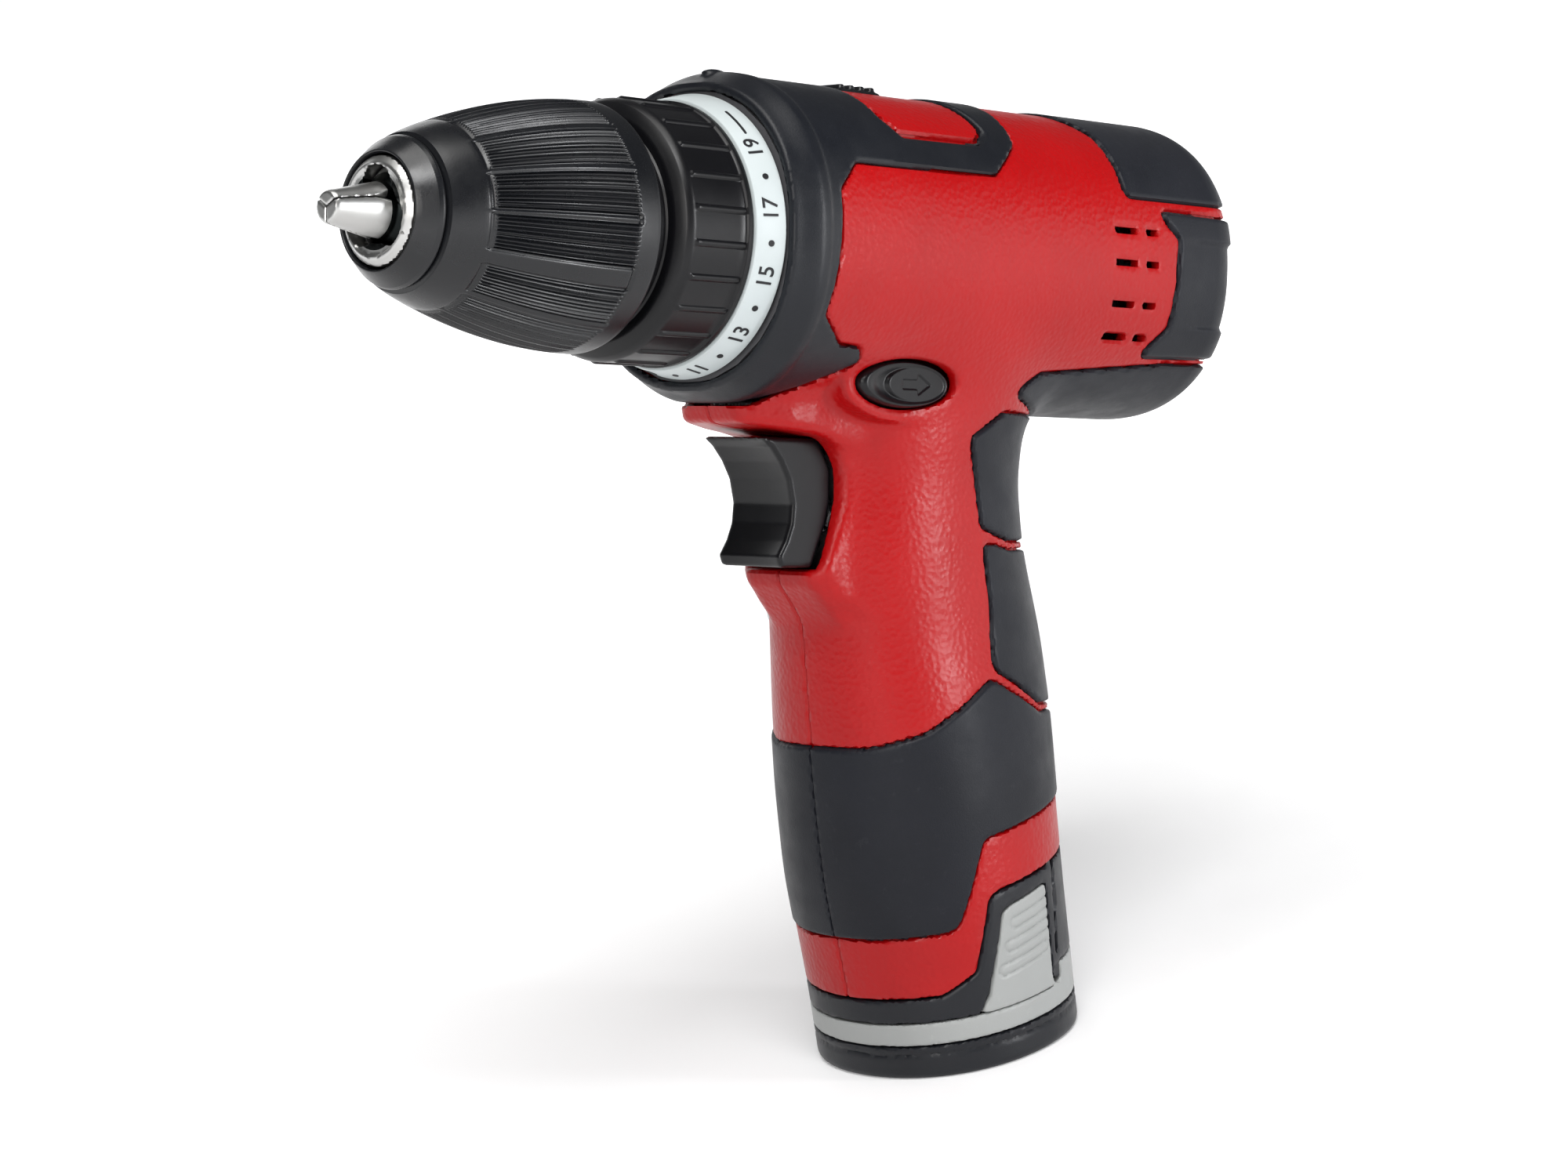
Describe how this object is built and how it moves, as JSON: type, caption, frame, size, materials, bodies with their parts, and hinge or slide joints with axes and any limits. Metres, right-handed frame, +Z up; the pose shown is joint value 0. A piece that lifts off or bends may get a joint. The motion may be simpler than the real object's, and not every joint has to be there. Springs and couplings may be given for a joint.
{
  "type": "cordless drill",
  "caption": "Compact cordless drill driver with a keyless three-jaw chuck, numbered clutch ring, rubber-clad pistol grip and a stick battery in the handle.",
  "frame": {"origin": "middle of the flat foot under the battery pack", "axes": "+Z up from the foot, chuck towards -X and 13.5 degrees up, +Y across the drill to the user's right"},
  "size_m": [0.2014, 0.0574, 0.189],
  "materials": {
    "red_housing": "semi-gloss, fine moulded grain",
    "black_plastic": "satin to gloss",
    "charcoal_rubber": "matte soft touch",
    "zinc_screw": "zinc plated",
    "inner_plastic": "moulded",
    "gear_steel": "sintered, oiled",
    "satin_steel": "satin turned",
    "spring_steel": "drawn wire",
    "motor_steel": "zinc plated sheet",
    "rotor_copper": "laminations and varnished winding",
    "number_ring": "satin pale grey",
    "grey_plastic": "satin mid grey",
    "cell_wrap": "shrink sleeve over a steel can"
  },
  "bodies": {
    "housing": {"housing_left": "red_housing", "housing_right": "red_housing", "front_cover": "black_plastic", "rear_pad_upper_left": "charcoal_rubber", "rear_pad_upper_right": "charcoal_rubber", "rear_pad_middle_left": "charcoal_rubber", "rear_pad_middle_right": "charcoal_rubber", "rear_pad_lower_left": "charcoal_rubber", "rear_pad_lower_right": "charcoal_rubber", "grip_pad_upper_left": "charcoal_rubber", "grip_pad_upper_right": "charcoal_rubber", "grip_pad_lower_left": "charcoal_rubber", "grip_pad_lower_right": "charcoal_rubber", "handle_sleeve_left": "charcoal_rubber", "handle_sleeve_right": "charcoal_rubber", "housing_screw_1": "zinc_screw", "housing_screw_2": "zinc_screw", "housing_screw_3": "zinc_screw", "housing_screw_4": "zinc_screw", "gearbox_case": "inner_plastic", "ring_gear": "gear_steel", "front_bearing": "satin_steel", "clutch_spring": "spring_steel", "motor_can": "motor_steel", "motor_end_cap": "inner_plastic", "trigger_switch": "inner_plastic", "trigger_spring": "spring_steel", "terminal_block": "inner_plastic"},
    "spindle": {"output_spindle": "satin_steel", "chuck_body": "satin_steel"},
    "chuck_sleeve": {"chuck_sleeve": "black_plastic", "chuck_nut": "gear_steel", "chuck_nose_collar": "black_plastic"},
    "jaw_1": {"jaw_1": "satin_steel"},
    "jaw_2": {"jaw_2": "satin_steel"},
    "jaw_3": {"jaw_3": "satin_steel"},
    "clutch_ring": {"torque_ring": "black_plastic", "torque_scale": "number_ring"},
    "carrier_1": {"carrier_1": "gear_steel"},
    "rotor": {"motor_shaft": "satin_steel", "rotor_core": "rotor_copper", "cooling_fan": "inner_plastic"},
    "speed_switch": {"speed_switch": "black_plastic", "shift_ring": "gear_steel"},
    "trigger": {"trigger": "black_plastic"},
    "direction_button": {"direction_button": "black_plastic"},
    "battery": {"battery_case": "black_plastic", "battery_belt": "grey_plastic", "battery_cap": "black_plastic", "battery_cell_1": "cell_wrap", "battery_cell_2": "cell_wrap", "battery_cell_3": "cell_wrap"},
    "latch_left": {"battery_latch_left": "grey_plastic"},
    "latch_right": {"battery_latch_right": "grey_plastic"},
    "planet_1_1": {"planet_1_1": "gear_steel"},
    "planet_1_2": {"planet_1_2": "gear_steel"},
    "planet_1_3": {"planet_1_3": "gear_steel"},
    "planet_2_1": {"planet_2_1": "gear_steel"},
    "planet_2_2": {"planet_2_2": "gear_steel"},
    "planet_2_3": {"planet_2_3": "gear_steel"}
  },
  "joints": [
    {"name": "spindle_spin", "type": "hinge", "parent": "housing", "child": "spindle", "pos_m": [-0.06151, 0, 0.16574], "axis": [0.9724, 0, -0.2334], "continuous": true},
    {"name": "carrier_1_spin", "type": "hinge", "parent": "housing", "child": "carrier_1", "pos_m": [-0.02261, 0, 0.1564], "axis": [0.9724, 0, -0.2334], "continuous": true},
    {"name": "rotor_spin", "type": "hinge", "parent": "housing", "child": "rotor", "pos_m": [0.02601, 0, 0.14473], "axis": [0.9724, 0, -0.2334], "continuous": true},
    {"name": "sleeve_turn", "type": "hinge", "parent": "spindle", "child": "chuck_sleeve", "pos_m": [-0.08096, 0, 0.17041], "axis": [0.9724, 0, -0.2334], "range_deg": [0, 1440]},
    {"name": "jaw_1_slide", "type": "slide", "parent": "spindle", "child": "jaw_1", "axis": [0.9997, 0, 0.0262], "range_m": [0, 0.019]},
    {"name": "jaw_2_slide", "type": "slide", "parent": "spindle", "child": "jaw_2", "axis": [0.909, -0.2241, -0.3513], "range_m": [0, 0.019]},
    {"name": "jaw_3_slide", "type": "slide", "parent": "spindle", "child": "jaw_3", "axis": [0.909, 0.2241, -0.3513], "range_m": [0, 0.019]},
    {"name": "planet_2_1_spin", "type": "hinge", "parent": "spindle", "child": "planet_2_1", "pos_m": [-0.0265, 0.0096, 0.15733], "axis": [0.9724, 0, -0.2334], "continuous": true},
    {"name": "planet_2_2_spin", "type": "hinge", "parent": "spindle", "child": "planet_2_2", "pos_m": [-0.02456, -0.0048, 0.16542], "axis": [0.9724, 0, -0.2334], "continuous": true},
    {"name": "planet_2_3_spin", "type": "hinge", "parent": "spindle", "child": "planet_2_3", "pos_m": [-0.02844, -0.0048, 0.14925], "axis": [0.9724, 0, -0.2334], "continuous": true},
    {"name": "planet_1_1_spin", "type": "hinge", "parent": "carrier_1", "child": "planet_1_1", "pos_m": [-0.01542, 0.0096, 0.15467], "axis": [0.9724, 0, -0.2334], "continuous": true},
    {"name": "planet_1_2_spin", "type": "hinge", "parent": "carrier_1", "child": "planet_1_2", "pos_m": [-0.01348, -0.0048, 0.16276], "axis": [0.9724, 0, -0.2334], "continuous": true},
    {"name": "planet_1_3_spin", "type": "hinge", "parent": "carrier_1", "child": "planet_1_3", "pos_m": [-0.01736, -0.0048, 0.14659], "axis": [0.9724, 0, -0.2334], "continuous": true},
    {"name": "clutch_ring_turn", "type": "hinge", "parent": "housing", "child": "clutch_ring", "pos_m": [-0.04984, 0, 0.16294], "axis": [-0.9724, 0, 0.2334], "range_deg": [0, 290]},
    {"name": "speed_switch_slide", "type": "slide", "parent": "housing", "child": "speed_switch", "axis": [0.9724, 0, -0.2334], "range_m": [0, 0.008]},
    {"name": "trigger_pull", "type": "slide", "parent": "housing", "child": "trigger", "axis": [0.9724, 0, -0.2334], "range_m": [0, 0.0065], "stiffness_N_per_m": 700, "springref_m": -0.002, "deforming": ["trigger_spring"]},
    {"name": "direction_button_slide", "type": "slide", "parent": "housing", "child": "direction_button", "axis": [0, 1, 0], "range_m": [-0.003, 0.003]},
    {"name": "battery_slide", "type": "slide", "parent": "housing", "child": "battery", "axis": [0, 0, -1], "range_m": [0, 0.075]},
    {"name": "latch_left_press", "type": "hinge", "parent": "battery", "child": "latch_left", "pos_m": [-0.001, -0.0225, 0.0118], "axis": [-1, 0, 0], "range_deg": [0, 4], "stiffness_Nm_per_rad": 0.6, "springref_deg": -1.15},
    {"name": "latch_right_press", "type": "hinge", "parent": "battery", "child": "latch_right", "pos_m": [-0.001, 0.0225, 0.0118], "axis": [1, 0, 0], "range_deg": [0, 4], "stiffness_Nm_per_rad": 0.6, "springref_deg": -1.15}
  ],
  "couplings": [
    {"joint": "carrier_1_spin", "follows": "spindle_spin", "ratio": 4},
    {"joint": "rotor_spin", "follows": "spindle_spin", "ratio": 16},
    {"joint": "jaw_1_slide", "follows": "sleeve_turn", "m_per_rad": 0.00075591},
    {"joint": "jaw_2_slide", "follows": "sleeve_turn", "m_per_rad": 0.00075591},
    {"joint": "jaw_3_slide", "follows": "sleeve_turn", "m_per_rad": 0.00075591},
    {"joint": "planet_2_1_spin", "follows": "spindle_spin", "ratio": -3},
    {"joint": "planet_2_2_spin", "follows": "spindle_spin", "ratio": -3},
    {"joint": "planet_2_3_spin", "follows": "spindle_spin", "ratio": -3},
    {"joint": "planet_1_1_spin", "follows": "spindle_spin", "ratio": -12},
    {"joint": "planet_1_2_spin", "follows": "spindle_spin", "ratio": -12},
    {"joint": "planet_1_3_spin", "follows": "spindle_spin", "ratio": -12}
  ]
}
